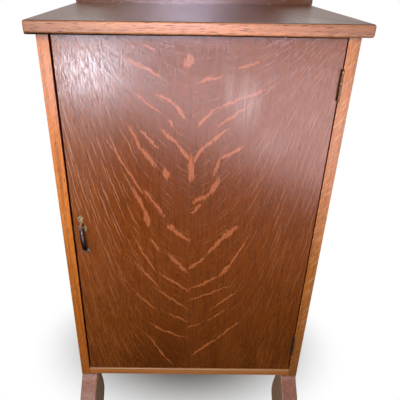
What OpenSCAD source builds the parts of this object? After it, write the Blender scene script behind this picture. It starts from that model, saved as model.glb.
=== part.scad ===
/* [Case] */
// Width over the two side panels
case_w = 440; // [380:1:520]
// Height of the side panels
case_h = 656; // [560:1:760]
// Depth of the side panels, front edge to back edge
case_d = 333; // [280:1:380]
// Thickness of the side panels
side_t = 17; // [15:0.5:20]
// Thickness of the bottom board
bottom_t = 16.5; // [13:0.5:20]
// Thickness of the stretcher rails under the top board
rail_t = 17; // [13:0.5:20]
// Width of the stretcher rails, front to back
rail_d = 60; // [44:1:80]
// Depth of the dados in the side panels
dado = 6; // [4:0.5:7]
// Distance of the bottom dados' closed ends behind the front edges
dado_stop = 8; // [5:0.5:20]
// Thickness of the back boards
back_t = 7.5; // [6:0.5:10]
// Width of the rabbet that takes the back boards
rabbet_w = 9; // [6:0.5:11]
// Length of the tongues between the back boards
tongue = 5; // [3:0.5:7]

/* [Top] */
// Thickness of the top board
top_t = 17; // [14:0.5:22]
// Overhang of the top board at each side
top_side = 12; // [6:0.5:24]
// Overhang of the top board at the front
top_front = 14; // [6:0.5:24]
// Overhang of the top board at the back
top_back = 4; // [0:0.5:8]
// Corner radius of the top board in plan
top_corner_r = 4; // [2:0.5:8]
// Height of the crest rail at its middle
crest_h = 85; // [60:1:120]
// Thickness of the crest rail
crest_t = 18; // [14:0.5:22]
// Height of the straight ends of the crest rail
crest_end = 24; // [16:1:34]
// Radius of the round shoulders of the crest rail
shoulder_r = 13; // [8:0.5:18]
// Half length of the level middle of the crest rail
crest_level = 92; // [60:1:120]
// Length of the sweeps from each shoulder up to the level middle
sweep_pull = 42; // [20:1:55]

/* [Feet] */
// Height of the feet
foot_h = 150; // [138:1:170]
// Thickness of the sawn feet
foot_t = 31; // [24:0.5:36]
// Depth of the neck where a foot meets the case
neck_d = 38; // [32:0.5:42]
// Height of the straight back edge of the neck
neck_h = 26; // [18:1:30]
// Reach of the scroll in front of the case
scroll_out = 52; // [36:1:60]
// Height of the scroll's front above the floor
scroll_z = 76; // [64:1:84]
// Distance of the scroll's back from the front of the case
swell_d = 51.5; // [45:0.5:60]
// Height of the scroll's back above the floor
swell_z = 53; // [50:1:66]
// Reach of the narrow ankle in front of the case
ankle_out = 22; // [16:1:26]
// Distance of the ankle's back from the front of the case
ankle_d = 32; // [28:0.5:34]
// Height of the ankle above the floor
ankle_z = 21; // [19:1:26]
// Reach of the toe in front of the case
toe_out = 33; // [28:1:38]
// Distance of the heel from the front of the case
heel_d = 37; // [35:0.5:42]
// Height of the upright edge of the sole
sole_h = 6; // [4:0.5:8]
// Side of the glue blocks behind the necks
block = 22; // [12:1:24]

/* [Door] */
// Thickness of the door with its veneers
door_t = 20; // [17:0.5:22]
// Thickness of each veneer
veneer_t = 1; // [0.6:0.1:1.5]
// Distance of the door's face behind the front edges of the case
door_recess = 1.8; // [0:0.1:4]
// Gap along the free edge of the door
gap_free = 2.6; // [1.6:0.1:4]
// Gap along the hinged edge of the door
gap_hinge = 1; // [0.6:0.1:1.6]
// Gap between the door and the top board
gap_top = 2.2; // [1:0.1:4]
// Gap between the door and the bottom board
gap_bottom = 1.2; // [0.8:0.1:3]
// Distance of the veneer seam from the middle of the case
seam_off = 6; // [0:0.5:20]

/* [Shelves] */
// Thickness of the shelves
shelf_t = 7; // [5:0.5:9]
// Distance of the shelves' front edges behind the door
shelf_set = 8.5; // [7:0.5:30]

/* [Hinges] */
// Length of each hinge
hinge_l = 43; // [40:1:60]
// Distance of the upper hinge's middle below the top board
hinge_top = 65.5; // [50:0.5:120]
// Distance of the lower hinge's middle above the underside of the case
hinge_low = 84; // [70:1:120]
// Distance of the hinge pins from the side panel
pin_in = 1.2; // [0.9:0.1:1.2]
// Radius of the hinge barrels
barrel_r = 2; // [1.9:0.05:3]
// Thickness of the hinge leaves
leaf_t = 1.4; // [1.2:0.1:1.8]
// Depth of the hinge leaves behind the front edges of the case
leaf_d = 16.5; // [14:0.5:16.5]
// Radius of the hinge pins
hinge_pin_r = 1; // [0.8:0.05:1.2]
// Length of the hinge screws
hinge_screw_l = 12; // [8:0.5:12.5]
// Width of the groove in the door beside each hinge barrel
groove_w = 1.4; // [0.6:0.1:2]
// Depth of the groove beside each hinge barrel
groove_d = 1.8; // [1.2:0.1:3]

/* [Pull] */
// Distance of the pull's middle from the door's free edge
pull_in = 15.4; // [13:0.2:40]
// Height of the pull's middle above the underside of the case
pull_z = 333; // [250:1:400]
// Lean of the pull from upright, in degrees
pull_lean = 4; // [0:0.5:6]
// Height of the post above the pull's middle
post_up = 24; // [18:0.5:30]
// Distance of the grip's lower end below the pull's middle
foot_down = 24.8; // [22:0.2:36]
// Reach of the post's head in front of the door
post_out = 15.5; // [14:0.5:22]
// Radius of the post's disc head
head_r = 4.8; // [4.5:0.1:7]
// Length of the post's disc head
head_l = 5.5; // [4:0.5:7]
// Radius of the upper plate
plate_r = 7.8; // [6.5:0.1:9]
// Distance of the upper plate's middle below the post
plate_drop = 7.5; // [2:0.5:9]
// Height of the plate screw above the post
lobe_up = 11; // [10:0.5:16]
// Radius of the lobe round the plate screw
lobe_r = 4.7; // [4:0.1:6]
// Radius of the lobes of the foot
foot_lobe_r = 3; // [2.6:0.1:4]
// Thickness of the upper plate and the foot
plate_t = 1.6; // [1.2:0.1:2.4]
// Reach of the grip's bow in its upper part
bow_high = 12.5; // [10:0.5:15]
// Reach of the grip's bow in its lower part
bow_low = 13.5; // [12:0.5:20]
// Swell of the grip at its middle
grip_swell = 1; // [0.4:0.1:1.8]

/* [Catch] */
// Radius of the plunger's nose
nose_r = 2.6; // [2:0.1:3]
// Length of the catch sleeve in the door
sleeve_l = 24; // [20:0.5:30]
// Outer radius of the catch sleeve
sleeve_r = 4.6; // [4.5:0.1:5.2]
// Air between the plunger's nose and the strike plate
nose_air = 0.5; // [0.4:0.05:0.7]
// Length of the strike plate
strike_l = 38; // [32:1:50]

/* [Hidden] */

// Clearances of joints, bores and faces
glue = 0.1;
fit = 0.05;
seat = 0.3;
cut = 1;

// Finishes
oak = [0.55, 0.29, 0.16];
oak_edge = [0.76, 0.45, 0.20];
oak_dark = [0.40, 0.22, 0.14];
oak_inside = [0.62, 0.42, 0.24];
veneer = [0.50, 0.26, 0.17];
old_brass = [0.66, 0.55, 0.33];
dark_brass = [0.28, 0.21, 0.17];
steel = [0.45, 0.43, 0.40];

// Levels and planes of the case. X runs to the right, Y into the case from the
// front edges of the side panels, Z up from the floor.
case_z = foot_h;
inner_z = case_z + bottom_t;
top_z = case_z + case_h;
rail_z = top_z - rail_t;
inner_x = case_w / 2 - side_t;
back_y = case_d - back_t;
rail_back_y = back_y - rail_d;
top_half = case_w / 2 + top_side;
crest_y = case_d + top_back - crest_t;
crest_z = top_z + top_t;

// The origin lies under the middle of the box round the cabinet
box_mid_y = (case_d + top_back - scroll_out) / 2;

// Door
door_x0 = -inner_x + gap_free;
door_x1 = inner_x - gap_hinge;
door_z0 = inner_z + gap_bottom;
door_z1 = top_z - gap_top;
door_y0 = door_recess;
door_y1 = door_recess + door_t;
stop_y = door_y1 + seat;
rail_front_y = stop_y;
stop_d = 7;
stop_h = 12;
stop_l = 88;
stop_in = 50;
stop_x = -inner_x + stop_in;

// Shelves
shelf_n = 6;
shelf_y = door_y1 + shelf_set;
shelf_pitch = (rail_z - inner_z) / (shelf_n + 1);
function shelf_z(i) = inner_z + i * shelf_pitch - shelf_t / 2;

// Back boards
back_half = inner_x + rabbet_w - glue;
back_w = 2 * back_half / 3;
tongue_t = back_t / 3;
nail_r = 0.9;
nail_head_r = 2.2;
nail_head_l = 0.6;
nail_l = 22;
nail_in = 25;

// Screws and dowels
screw_r = 2;
screw_head_r = 4;
top_screw_in = 11;
top_screw_side = 60;
top_screw_x = inner_x - top_screw_side;
crest_dowel_r = 4;
crest_dowel_in = 12;
crest_dowel_x = 150;
foot_dowel_r = 3.5;
foot_dowel_in = 22;
foot_dowel_x = case_w / 2 - (side_t - dado) / 2;
foot_dowel_edge = 10;
foot_dowel_y = [foot_dowel_edge, neck_d - foot_dowel_edge];
block_l = 30;
small_r = 1.4;
small_head_r = 2.7;
slot_w = 0.7;
slot_d = 0.5;

// Hinges: the pins stand in front of the case, the leaves let into the door more than into the case
leaf_air = 0.1;
barrel_air = 0.15;
knuckles = 5;
knuckle_air = 0.2;
pin_x = inner_x - pin_in;
pin_y = -barrel_r - barrel_air;
pin_cap_r = barrel_r - 0.4;
pin_cap_h = 1.2;
// Outline of a pin's cap, in parts of its radius and height
pin_cap = [[1, 0], [1, 0.3], [0.6, 0.75], [0, 1]];
leaf_y = pin_y + barrel_r + barrel_air + leaf_air;
hinge_z = [top_z - hinge_top, case_z + hinge_low];
case_mortise = leaf_air + leaf_t - pin_in;
door_mortise = leaf_air + leaf_t + pin_in - gap_hinge;
hinge_screw_z = 15;
hinge_screw_y = [12, 7, 12];

// Pull, drawn round its middle on the door's face
pull_x = door_x0 + pull_in;
neck_r = 3;
shank_r = 2;
flare_r = 0.8;
flare_h = 1.2;
head_round = 0.8;
washer_r = 5;
washer_t = 0.8;
nut_r = 4.2;
nut_t = 3;
shank_over = 1;
shank_end = door_t + washer_t + nut_t + shank_over;
plate_screw_l = 11;
plate_bar = 0.6 * lobe_r;
foot_lobe_x = 4.1;
foot_lobe_low = 3;
foot_mid_r = 4;
foot_screw_r = 0.9;
foot_screw_head_r = 1.7;
foot_screw_l = 8;
foot_tip = 6;
stub_l = 4;
grip_out = (plate_t + post_out - head_l) / 2;
grip_top = post_up - neck_r - stub_l;
grip_top_r = 3.3;
grip_end_r = 2.5;
grip_tenon_r = 1.8;
grip_tenon_l = 2.5;
foot_tenon_r = 1.5;
foot_tenon_l = 8;
grip_sides = 20;
grip_rings = 18;

// Catch, at the height of the pull's middle and in the middle of the door's thickness
catch_z = case_z + pull_z;
catch_y = door_y0 + door_t / 2;
flange_r = 6.5;
flange_t = 0.9;
sleeve_wall = 1;
sleeve_end = 1.5;
nose_out = gap_free - nose_air;
plunger_r = sleeve_r - sleeve_wall - fit;
plunger_l = 5;
spring_wire_r = 0.35;
spring_r = plunger_r - 0.9;
spring_turns = 8;
strike_t = 0.9;
strike_d = 14;
strike_screw_in = 5.5;
strike_screw_z = strike_l / 2 - strike_screw_in;
strike_screw_l = 10;
dish_r = 6;
dish_in = 0.3;

// Cubic Bezier curve on four control points, without its last point
function cubic(p, t) = let (u = 1 - t)
    u * u * u * p[0] + 3 * u * u * t * p[1] + 3 * u * t * t * p[2] + t * t * t * p[3];
function curve(p, n = 14) = [for (i = [0 : n - 1]) cubic(p, i / n)];

// Puts what is drawn from the front of the case into the frame of the whole cabinet
module placed() {
    translate([0, -box_mid_y, 0]) children();
}

// Turns what is drawn along +Z to point along another axis
module along_x() { rotate([0, 90, 0]) children(); }
module along_neg_x() { rotate([0, -90, 0]) children(); }
module along_y() { rotate([-90, 0, 0]) children(); }
module along_neg_y() { rotate([90, 0, 0]) children(); }

// Box given by its lowest and highest corners
module box(low, high) {
    translate(low) cube(high - low);
}

// Countersunk wood screw along -Z with its head's top at the origin, and its bore
module screw_shape(length, r, head_r, air) {
    head_l = head_r - r;
    translate([0, 0, -length - air]) cylinder(h = length + air, r = r + air, $fn = 24);
    translate([0, 0, -head_l - air]) cylinder(h = head_l + air, r1 = r + air, r2 = head_r + air, $fn = 24);
}
module screw(length, r, head_r) {
    difference() {
        screw_shape(length, r, head_r, 0);
        translate([-head_r - cut, -slot_w / 2, -slot_d]) cube([2 * (head_r + cut), slot_w, slot_d + cut]);
    }
}
module screw_bore(length, r, head_r) {
    screw_shape(length, r, head_r, fit);
    cylinder(h = cut, r = head_r + fit, $fn = 24);
}

// Straight dowel along Z, centred on the origin
module dowel(r, half, air = 0) {
    cylinder(h = 2 * (half + air), r = r + air, center = true, $fn = 32);
}

// Places of the repeated fasteners
module at_top_screws() {
    for (x = [-top_screw_x, top_screw_x], y = [rail_front_y + rail_d / 2, rail_back_y + rail_d / 2])
        translate([x, y, rail_z]) rotate([180, 0, 0]) children();
}
module at_crest_dowels() {
    for (x = [-crest_dowel_x, 0, crest_dowel_x])
        translate([x, crest_y + crest_t / 2, crest_z]) children();
}
module at_foot_dowels() {
    for (x = [-1, 1] * foot_dowel_x, d = foot_dowel_y, y = [d, case_d - d])
        translate([x, y, case_z]) children();
}
module at_back_nails() {
    for (i = [-1 : 1], x = [-1, 1], z = [case_z + bottom_t / 2, top_z - rail_t / 2])
        translate([i * back_w + x * (back_w / 2 - nail_in), case_d, z]) along_y() children();
}
module at_hinge_screws() {
    for (z = hinge_z, i = [0 : 2])
        translate([pin_x, hinge_screw_y[i], z + (i - 1) * hinge_screw_z]) children();
}
module at_strike_screws() {
    for (z = [-1, 1] * strike_screw_z)
        translate([-inner_x, catch_y, catch_z + z]) along_x() children();
}

// Puts what is drawn round the pull's middle onto the door's face, leaning a little
module pull_place() {
    translate([pull_x, door_y0, case_z + pull_z]) rotate([0, -pull_lean, 0]) children();
}
module at_plate_screw() {
    pull_place() translate([0, -plate_t, post_up + lobe_up]) along_neg_y() children();
}
module at_foot_screws() {
    pull_place() for (x = [-1, 1] * foot_lobe_x)
        translate([x, -plate_t, -foot_down - foot_lobe_low]) along_neg_y() children();
}

// Case

module side_board(side) {
    outer = side * case_w / 2;
    x = side * inner_x;
    module slot(y0, y1, z0, z1, deep) {
        box([min(x - side * cut, x + side * deep), y0, z0], [max(x - side * cut, x + side * deep), y1, z1]);
    }
    color(oak) placed() difference() {
        box([min(x, outer), 0, case_z], [max(x, outer), case_d, top_z]);
        slot(dado_stop - glue, back_y, case_z - cut, inner_z + glue, dado);
        slot(rail_front_y - glue, rail_front_y + rail_d + glue, rail_z - glue, top_z + cut, dado);
        slot(rail_back_y - glue, back_y + cut, rail_z - glue, top_z + cut, dado);
        slot(back_y - glue, case_d + cut, case_z - cut, top_z + cut, rabbet_w);
        for (i = [1 : shelf_n])
            slot(shelf_y - glue, back_y + cut, shelf_z(i) - glue, shelf_z(i) + shelf_t + glue, dado);
        at_foot_dowels() dowel(foot_dowel_r, foot_dowel_in, fit);
        if (side > 0) {
            for (z = hinge_z) slot(-cut, leaf_d, z - hinge_l / 2, z + hinge_l / 2,
                case_mortise);
            at_hinge_screws() translate([leaf_air, 0, 0]) along_neg_x()
                screw_bore(hinge_screw_l, small_r, small_head_r);
        } else {
            slot(catch_y - strike_d / 2, catch_y + strike_d / 2,
                catch_z - strike_l / 2, catch_z + strike_l / 2, strike_t);
            at_strike_screws() screw_bore(strike_screw_l, small_r, small_head_r);
        }
    }
}
module side_panel_left() { side_board(-1); }
module side_panel_right() { side_board(1); }

module bottom_board() {
    half = inner_x + dado - glue;
    color(oak_edge) placed() difference() {
        union() {
            box([-inner_x, 0, case_z], [inner_x, dado_stop, inner_z]);
            box([-half, dado_stop, case_z], [half, back_y - glue, inner_z]);
        }
        at_back_nails() dowel(nail_r, nail_l, fit);
    }
}

module rail(y) {
    half = inner_x + dado - glue;
    difference() {
        box([-half, y, rail_z], [half, y + rail_d - glue, top_z]);
        at_top_screws() screw_bore(rail_t + top_screw_in, screw_r, screw_head_r);
    }
}
module rail_front() { color(oak_inside) placed() rail(rail_front_y); }
module rail_back() {
    color(oak_inside) placed() difference() {
        rail(rail_back_y);
        at_back_nails() dowel(nail_r, nail_l, fit);
    }
}

// Back boards, tongued on their right edges and grooved on their left edges
module back_board(i) {
    x0 = (i - 1.5) * back_w;
    x1 = x0 + back_w;
    mid_y = back_y + back_t / 2;
    color(oak_inside) placed() difference() {
        union() {
            box([x0 + (i > 0 ? glue : 0), back_y, case_z], [x1, case_d, top_z - glue]);
            if (i < 2) box([x1 - cut, mid_y - tongue_t / 2, case_z],
                [x1 + tongue, mid_y + tongue_t / 2, top_z - glue]);
        }
        if (i > 0) box([x0 - cut, mid_y - tongue_t / 2 - fit, case_z - cut],
            [x0 + tongue + glue, mid_y + tongue_t / 2 + fit, top_z + cut]);
        at_back_nails() dowel(nail_r, nail_l, fit);
    }
}
module back_board_left() { back_board(0); }
module back_board_middle() { back_board(1); }
module back_board_right() { back_board(2); }

module back_nails() {
    color(steel) placed() at_back_nails() {
        translate([0, 0, -nail_l]) cylinder(h = nail_l, r = nail_r, $fn = 24);
        cylinder(h = nail_head_l, r = nail_head_r, $fn = 24);
    }
}

module shelf(i) {
    half = inner_x + dado - glue;
    color(oak_inside) placed()
        box([-half, shelf_y, shelf_z(i)], [half, back_y - glue, shelf_z(i) + shelf_t]);
}
module shelf_1() { shelf(1); }
module shelf_2() { shelf(2); }
module shelf_3() { shelf(3); }
module shelf_4() { shelf(4); }
module shelf_5() { shelf(5); }
module shelf_6() { shelf(6); }

module door_stop() {
    color(oak_inside) placed()
        box([stop_x, stop_y, inner_z], [stop_x + stop_l, stop_y + stop_d, inner_z + stop_h]);
}

// Top

module top_board() {
    color(oak_dark) placed() difference() {
        translate([0, 0, top_z]) linear_extrude(top_t) union() {
            for (x = [-1, 1] * (top_half - top_corner_r))
                translate([x, top_corner_r - top_front]) circle(r = top_corner_r, $fn = 32);
            translate([top_corner_r - top_half, -top_front])
                square([2 * (top_half - top_corner_r), 2 * top_corner_r]);
            translate([-top_half, top_corner_r - top_front])
                square([2 * top_half, case_d + top_back + top_front - top_corner_r]);
        }
        at_top_screws() screw_bore(rail_t + top_screw_in, screw_r, screw_head_r);
        at_crest_dowels() dowel(crest_dowel_r, crest_dowel_in, fit);
    }
}

module top_screws() {
    color(steel) placed() at_top_screws() screw(rail_t + top_screw_in, screw_r, screw_head_r);
}

// Right half of the crest's outline: straight end, round shoulder, sweep, level middle
function crest_half() = let (ear_x = top_half - shoulder_r, ear_z = crest_end + shoulder_r) concat(
    [[top_half, 0]],
    [for (a = [0 : 10 : 80]) [ear_x + shoulder_r * cos(a), crest_end + shoulder_r * sin(a)]],
    curve([[ear_x, ear_z], [ear_x - sweep_pull, ear_z],
        [crest_level + sweep_pull, crest_h], [crest_level, crest_h]]),
    [[crest_level, crest_h]]);

module crest_rail() {
    half = crest_half();
    outline = concat(half, [for (i = [len(half) - 1 : -1 : 0]) [-half[i][0], half[i][1]]]);
    color(oak_dark) placed() difference() {
        translate([0, crest_y + crest_t, crest_z]) along_neg_y() linear_extrude(crest_t) polygon(outline);
        at_crest_dowels() dowel(crest_dowel_r, crest_dowel_in, fit);
    }
}

module crest_dowels() {
    color(oak_inside) placed() at_crest_dowels() dowel(crest_dowel_r, crest_dowel_in);
}

// Feet

// Lengths of the control arms of the sawn curves, as parts of each curve's height
short_arm = 0.2;
arm = 0.45;
long_arm = 0.62;

// Curve with upright ends between two points of an edge
function upright(a, b, arm_a = arm, arm_b = arm, n = 14) =
    curve([a, [a[0], a[1] + (b[1] - a[1]) * arm_a], [b[0], b[1] - (b[1] - a[1]) * arm_b], b], n);

// Back edge of a front foot, from the heel up round the swell to the neck
foot_back = concat(
    [[heel_d, 0]],
    upright([heel_d, sole_h], [ankle_d, ankle_z], n = 8),
    upright([ankle_d, ankle_z], [swell_d, swell_z]),
    upright([swell_d, swell_z], [neck_d, foot_h - neck_h]),
    [[neck_d, foot_h - neck_h], [neck_d, foot_h]]);

// Front edge of a front foot, from the case down over the scroll to the toe
foot_front = concat(
    upright([0, foot_h], [-scroll_out, scroll_z], short_arm, long_arm),
    upright([-scroll_out, scroll_z], [-ankle_out, ankle_z]),
    upright([-ankle_out, ankle_z], [-toe_out, sole_h], n = 8),
    [[-toe_out, sole_h], [-toe_out, 0]]);

// Foot with its profile in the YZ plane and its outer face flush with the side panel
module foot(side, outline) {
    x0 = side < 0 ? -case_w / 2 : case_w / 2 - foot_t;
    color(oak) placed() difference() {
        translate([x0, 0, 0]) rotate([90, 0, 90]) linear_extrude(foot_t) polygon(outline);
        at_foot_dowels() dowel(foot_dowel_r, foot_dowel_in, fit);
    }
}
front_outline = concat(foot_front, foot_back);
rear_outline = concat([[case_d, foot_h], [case_d, 0]], [for (p = foot_back) [case_d - p[0], p[1]]]);
module foot_front_left() { foot(-1, front_outline); }
module foot_front_right() { foot(1, front_outline); }
module foot_rear_left() { foot(-1, rear_outline); }
module foot_rear_right() { foot(1, rear_outline); }

module foot_dowels() {
    color(oak_inside) placed() at_foot_dowels() dowel(foot_dowel_r, foot_dowel_in);
}

// Three-sided blocks glued under the bottom board, against the inner edges of the necks
module glue_blocks() {
    color(oak_inside) placed() for (x = [-inner_x, inner_x - block_l], rear = [false, true]) {
        neck_y = rear ? case_d - neck_d : neck_d;
        end_y = rear ? neck_y - block : neck_y + block;
        translate([x, 0, case_z]) rotate([90, 0, 90]) linear_extrude(block_l)
            polygon([[neck_y, 0], [end_y, 0], [neck_y, -block]]);
    }
}

// Hinges

// One leaf: plate, its own knuckles, pin bore and screw holes
module hinge_leaf(side, z, own, air) {
    pitch = hinge_l / knuckles;
    x0 = side > 0 ? leaf_air : -leaf_air - leaf_t;
    translate([pin_x, 0, z]) difference() {
        union() {
            box([x0, leaf_y, -hinge_l / 2], [x0 + leaf_t, leaf_d - leaf_air, hinge_l / 2]);
            for (i = own) {
                low = -hinge_l / 2 + i * pitch + knuckle_air / 2;
                high = low + pitch - knuckle_air;
                translate([0, pin_y, low]) cylinder(h = high - low, r = barrel_r, $fn = 40);
                box([x0, pin_y, low], [x0 + leaf_t, leaf_y + cut, high]);
            }
        }
        translate([0, pin_y, 0]) cylinder(h = hinge_l + 2 * cut, r = hinge_pin_r + air, center = true, $fn = 32);
        translate([-pin_x, 0, -z]) at_hinge_screws() translate([side * leaf_air, 0, 0])
            rotate([0, -side * 90, 0]) screw_bore(hinge_screw_l, small_r, small_head_r);
    }
}
module hinge_case_leaf(z) { color(dark_brass) placed() hinge_leaf(1, z, [0, 2, 4], fit / 2); }
module hinge_door_leaf(z) { color(dark_brass) placed() hinge_leaf(-1, z, [1, 3], fit); }
module hinge_case_leaf_upper() { hinge_case_leaf(hinge_z[0]); }
module hinge_case_leaf_lower() { hinge_case_leaf(hinge_z[1]); }
module hinge_door_leaf_upper() { hinge_door_leaf(hinge_z[0]); }
module hinge_door_leaf_lower() { hinge_door_leaf(hinge_z[1]); }

// Pin with a domed cap above and below the barrel
module hinge_pin(z) {
    half = hinge_l / 2 - knuckle_air / 2;
    cap = [for (p = pin_cap) [p[0] * pin_cap_r, half + p[1] * pin_cap_h]];
    color(dark_brass) placed() translate([pin_x, pin_y, z]) rotate_extrude($fn = 32)
        polygon(concat([for (i = [len(cap) - 1 : -1 : 0]) [cap[i][0], -cap[i][1]]],
            [[hinge_pin_r, -half], [hinge_pin_r, half]], cap));
}
module hinge_pin_upper() { hinge_pin(hinge_z[0]); }
module hinge_pin_lower() { hinge_pin(hinge_z[1]); }

module hinge_screws(side) {
    color(old_brass) placed() at_hinge_screws() translate([side * leaf_air, 0, 0])
        rotate([0, -side * 90, 0]) screw(hinge_screw_l, small_r, small_head_r);
}
module hinge_case_screws() { hinge_screws(1); }
module hinge_door_screws() { hinge_screws(-1); }

// Door

// Mortises for the hinge leaves, each with a shallow groove that clears the barrel's side
module door_mortises() {
    for (z = hinge_z) {
        box([door_x1 - door_mortise, door_y0 - cut, z - hinge_l / 2],
            [door_x1 + cut, leaf_d, z + hinge_l / 2]);
        box([door_x1 - door_mortise - groove_w, door_y0 - cut, z - hinge_l / 2],
            [door_x1, door_y0 + groove_d, z + hinge_l / 2]);
    }
}

// Bores for the pull's shank, its foot tenon and its screws
module pull_bores() {
    pull_place() {
        translate([0, door_t / 2, post_up]) along_y() dowel(shank_r, door_t, fit);
        translate([0, 0, -foot_down]) along_y() dowel(foot_tenon_r, foot_tenon_l, fit);
    }
    at_plate_screw() screw_bore(plate_screw_l, small_r, small_head_r);
    at_foot_screws() screw_bore(foot_screw_l, foot_screw_r, foot_screw_head_r);
}

module door_core() {
    color(oak_inside) placed() difference() {
        box([door_x0, door_y0 + veneer_t, door_z0], [door_x1, door_y1 - veneer_t, door_z1]);
        door_mortises();
        at_hinge_screws() translate([-leaf_air, 0, 0]) along_x()
            screw_bore(hinge_screw_l, small_r, small_head_r);
        pull_bores();
        catch_place() {
            translate([0, 0, -cut]) cylinder(h = flange_t + cut + fit, r = flange_r + fit, $fn = 40);
            cylinder(h = sleeve_l + fit, r = sleeve_r + fit, $fn = 40);
        }
    }
}

// Bookmatched face veneers, which meet at the seam
module face_veneer(x0, x1) {
    color(veneer) placed() difference() {
        box([x0, door_y0, door_z0], [x1, door_y0 + veneer_t, door_z1]);
        door_mortises();
        pull_bores();
    }
}
module door_veneer_left() { face_veneer(door_x0, -seam_off); }
module door_veneer_right() { face_veneer(-seam_off, door_x1); }
module door_veneer_back() {
    color(oak_inside) placed() difference() {
        box([door_x0, door_y1 - veneer_t, door_z0], [door_x1, door_y1, door_z1]);
        pull_bores();
    }
}

// Pull

// Stamped plate: a round with a lobe above it for the screw
module pull_plate_upper() {
    color(old_brass) placed() difference() {
        pull_place() along_neg_y() linear_extrude(plate_t) {
            translate([0, post_up - plate_drop]) circle(r = plate_r, $fn = 48);
            translate([0, post_up + lobe_up]) circle(r = lobe_r, $fn = 40);
            translate([-plate_bar, post_up - plate_drop]) square([2 * plate_bar, lobe_up + plate_drop]);
        }
        pull_bores();
    }
}

// Stamped foot with three lobes and a screw in each of the upper two
module pull_foot() {
    color(old_brass) placed() difference() {
        pull_place() along_neg_y() linear_extrude(plate_t) translate([0, -foot_down]) {
            circle(r = foot_mid_r, $fn = 40);
            for (p = [[-foot_lobe_x, -foot_lobe_low], [foot_lobe_x, -foot_lobe_low], [0, -foot_tip]])
                translate(p) circle(r = foot_lobe_r, $fn = 40);
        }
        pull_bores();
    }
}

// Turned post: shank through the door, neck and disc head, with a stub below the neck whose
// socket takes the grip's upper tenon
module pull_post() {
    head_low = post_out - head_l;
    color(old_brass) placed() pull_place() difference() {
        union() {
            translate([0, 0, post_up]) along_neg_y() rotate_extrude($fn = 48) polygon([
                [0, -shank_end], [shank_r, -shank_end], [shank_r, plate_t], [neck_r + flare_r, plate_t],
                [neck_r, plate_t + flare_h], [neck_r, head_low - flare_h],
                [head_r - head_round, head_low], [head_r, head_low + head_round],
                [head_r, post_out - head_round], [head_r - head_round, post_out], [0, post_out]]);
            translate([0, -grip_out, grip_top])
                cylinder(h = post_up - grip_top, r = grip_top_r, $fn = 40);
        }
        translate([0, -grip_out, grip_top - cut])
            cylinder(h = cut + grip_tenon_l + glue, r = grip_tenon_r + fit, $fn = 32);
    }
}

// Skin over rings of points, closed at both ends
module skin(rings) {
    sides = len(rings[0]);
    last = len(rings) - 1;
    walls = [for (i = [0 : last - 1], s = [0 : sides - 1])
        let (t = (s + 1) % sides, a = i * sides, b = a + sides)
            each [[a + s, b + s, b + t], [a + s, b + t, a + t]]];
    polyhedron([for (ring = rings) each ring], concat(walls,
        [[for (s = [0 : sides - 1]) s], [for (s = [sides - 1 : -1 : 0]) last * sides + s]]));
}

// Cast grip: rings square to a curve that leaves the post's stub, bows out and lands square
// on the foot, with a tenon at each end
module pull_grip() {
    path = [[grip_out, grip_top - fit], [bow_high, grip_top / 3],
        [bow_low, -foot_down], [plate_t + fit, -foot_down]];
    function ring(c, n, r) = [for (i = [0 : grip_sides - 1]) let (b = i * 360 / grip_sides)
        [r * cos(b), -c[0] - n[0] * r * sin(b), c[1] + n[1] * r * sin(b)]];
    function swell(t) = grip_top_r * (1 - t) + grip_end_r * t + grip_swell * sin(180 * t);
    function slope(t) = let (u = 1 - t)
        u * u * (path[1] - path[0]) + 2 * u * t * (path[2] - path[1]) + t * t * (path[3] - path[2]);
    function across(t) = let (d = slope(t) / norm(slope(t))) [-d[1], d[0]];
    up = [1, 0];
    out = [0, -1];
    rings = concat(
        [ring(path[0] + [0, grip_tenon_l], up, grip_tenon_r), ring(path[0], up, grip_tenon_r),
            ring(path[0], up, grip_top_r)],
        [for (i = [1 : grip_rings - 1]) let (t = i / grip_rings) ring(cubic(path, t), across(t), swell(t))],
        [ring(path[3], out, grip_end_r), ring(path[3], out, foot_tenon_r),
            ring([-foot_tenon_l + fit, -foot_down], out, foot_tenon_r)]);
    color(dark_brass) placed() pull_place() skin(rings);
}

module pull_screws() {
    color(old_brass) placed() {
        at_plate_screw() screw(plate_screw_l, small_r, small_head_r);
        at_foot_screws() screw(foot_screw_l, foot_screw_r, foot_screw_head_r);
    }
}

// Washer and hexagonal nut on the shank, inside the door
module pull_nut() {
    color(old_brass) placed() pull_place() translate([0, door_t, post_up]) along_y() difference() {
        union() {
            cylinder(h = washer_t, r = washer_r, $fn = 32);
            translate([0, 0, washer_t]) cylinder(h = nut_t, r = nut_r, $fn = 6);
        }
        translate([0, 0, -cut]) cylinder(h = washer_t + nut_t + 2 * cut, r = shank_r + fit, $fn = 32);
    }
}

// Catch

// The catch is drawn along +Z from the door's free edge into the door
module catch_place() {
    translate([door_x0, catch_y, catch_z]) along_x() children();
}
module catch_sleeve() {
    color(old_brass) placed() catch_place() difference() {
        union() {
            cylinder(h = flange_t, r = flange_r, $fn = 40);
            cylinder(h = sleeve_l, r = sleeve_r, $fn = 40);
        }
        translate([0, 0, -cut]) cylinder(h = flange_t + 2 * cut, r = nose_r + fit, $fn = 40);
        translate([0, 0, flange_t])
            cylinder(h = sleeve_l - flange_t - sleeve_end, r = sleeve_r - sleeve_wall, $fn = 40);
    }
}

// Plunger with a round nose and a collar behind the sleeve's mouth
module catch_plunger() {
    color(old_brass) placed() catch_place() {
        translate([0, 0, nose_r - nose_out]) intersection() {
            sphere(r = nose_r, $fn = 40);
            translate([0, 0, -nose_r]) cylinder(h = nose_r, r = nose_r + cut, $fn = 40);
        }
        translate([0, 0, nose_r - nose_out])
            cylinder(h = flange_t + fit + nose_out, r = nose_r, $fn = 40);
        translate([0, 0, flange_t + fit]) cylinder(h = plunger_l, r = plunger_r, $fn = 40);
    }
}

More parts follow.
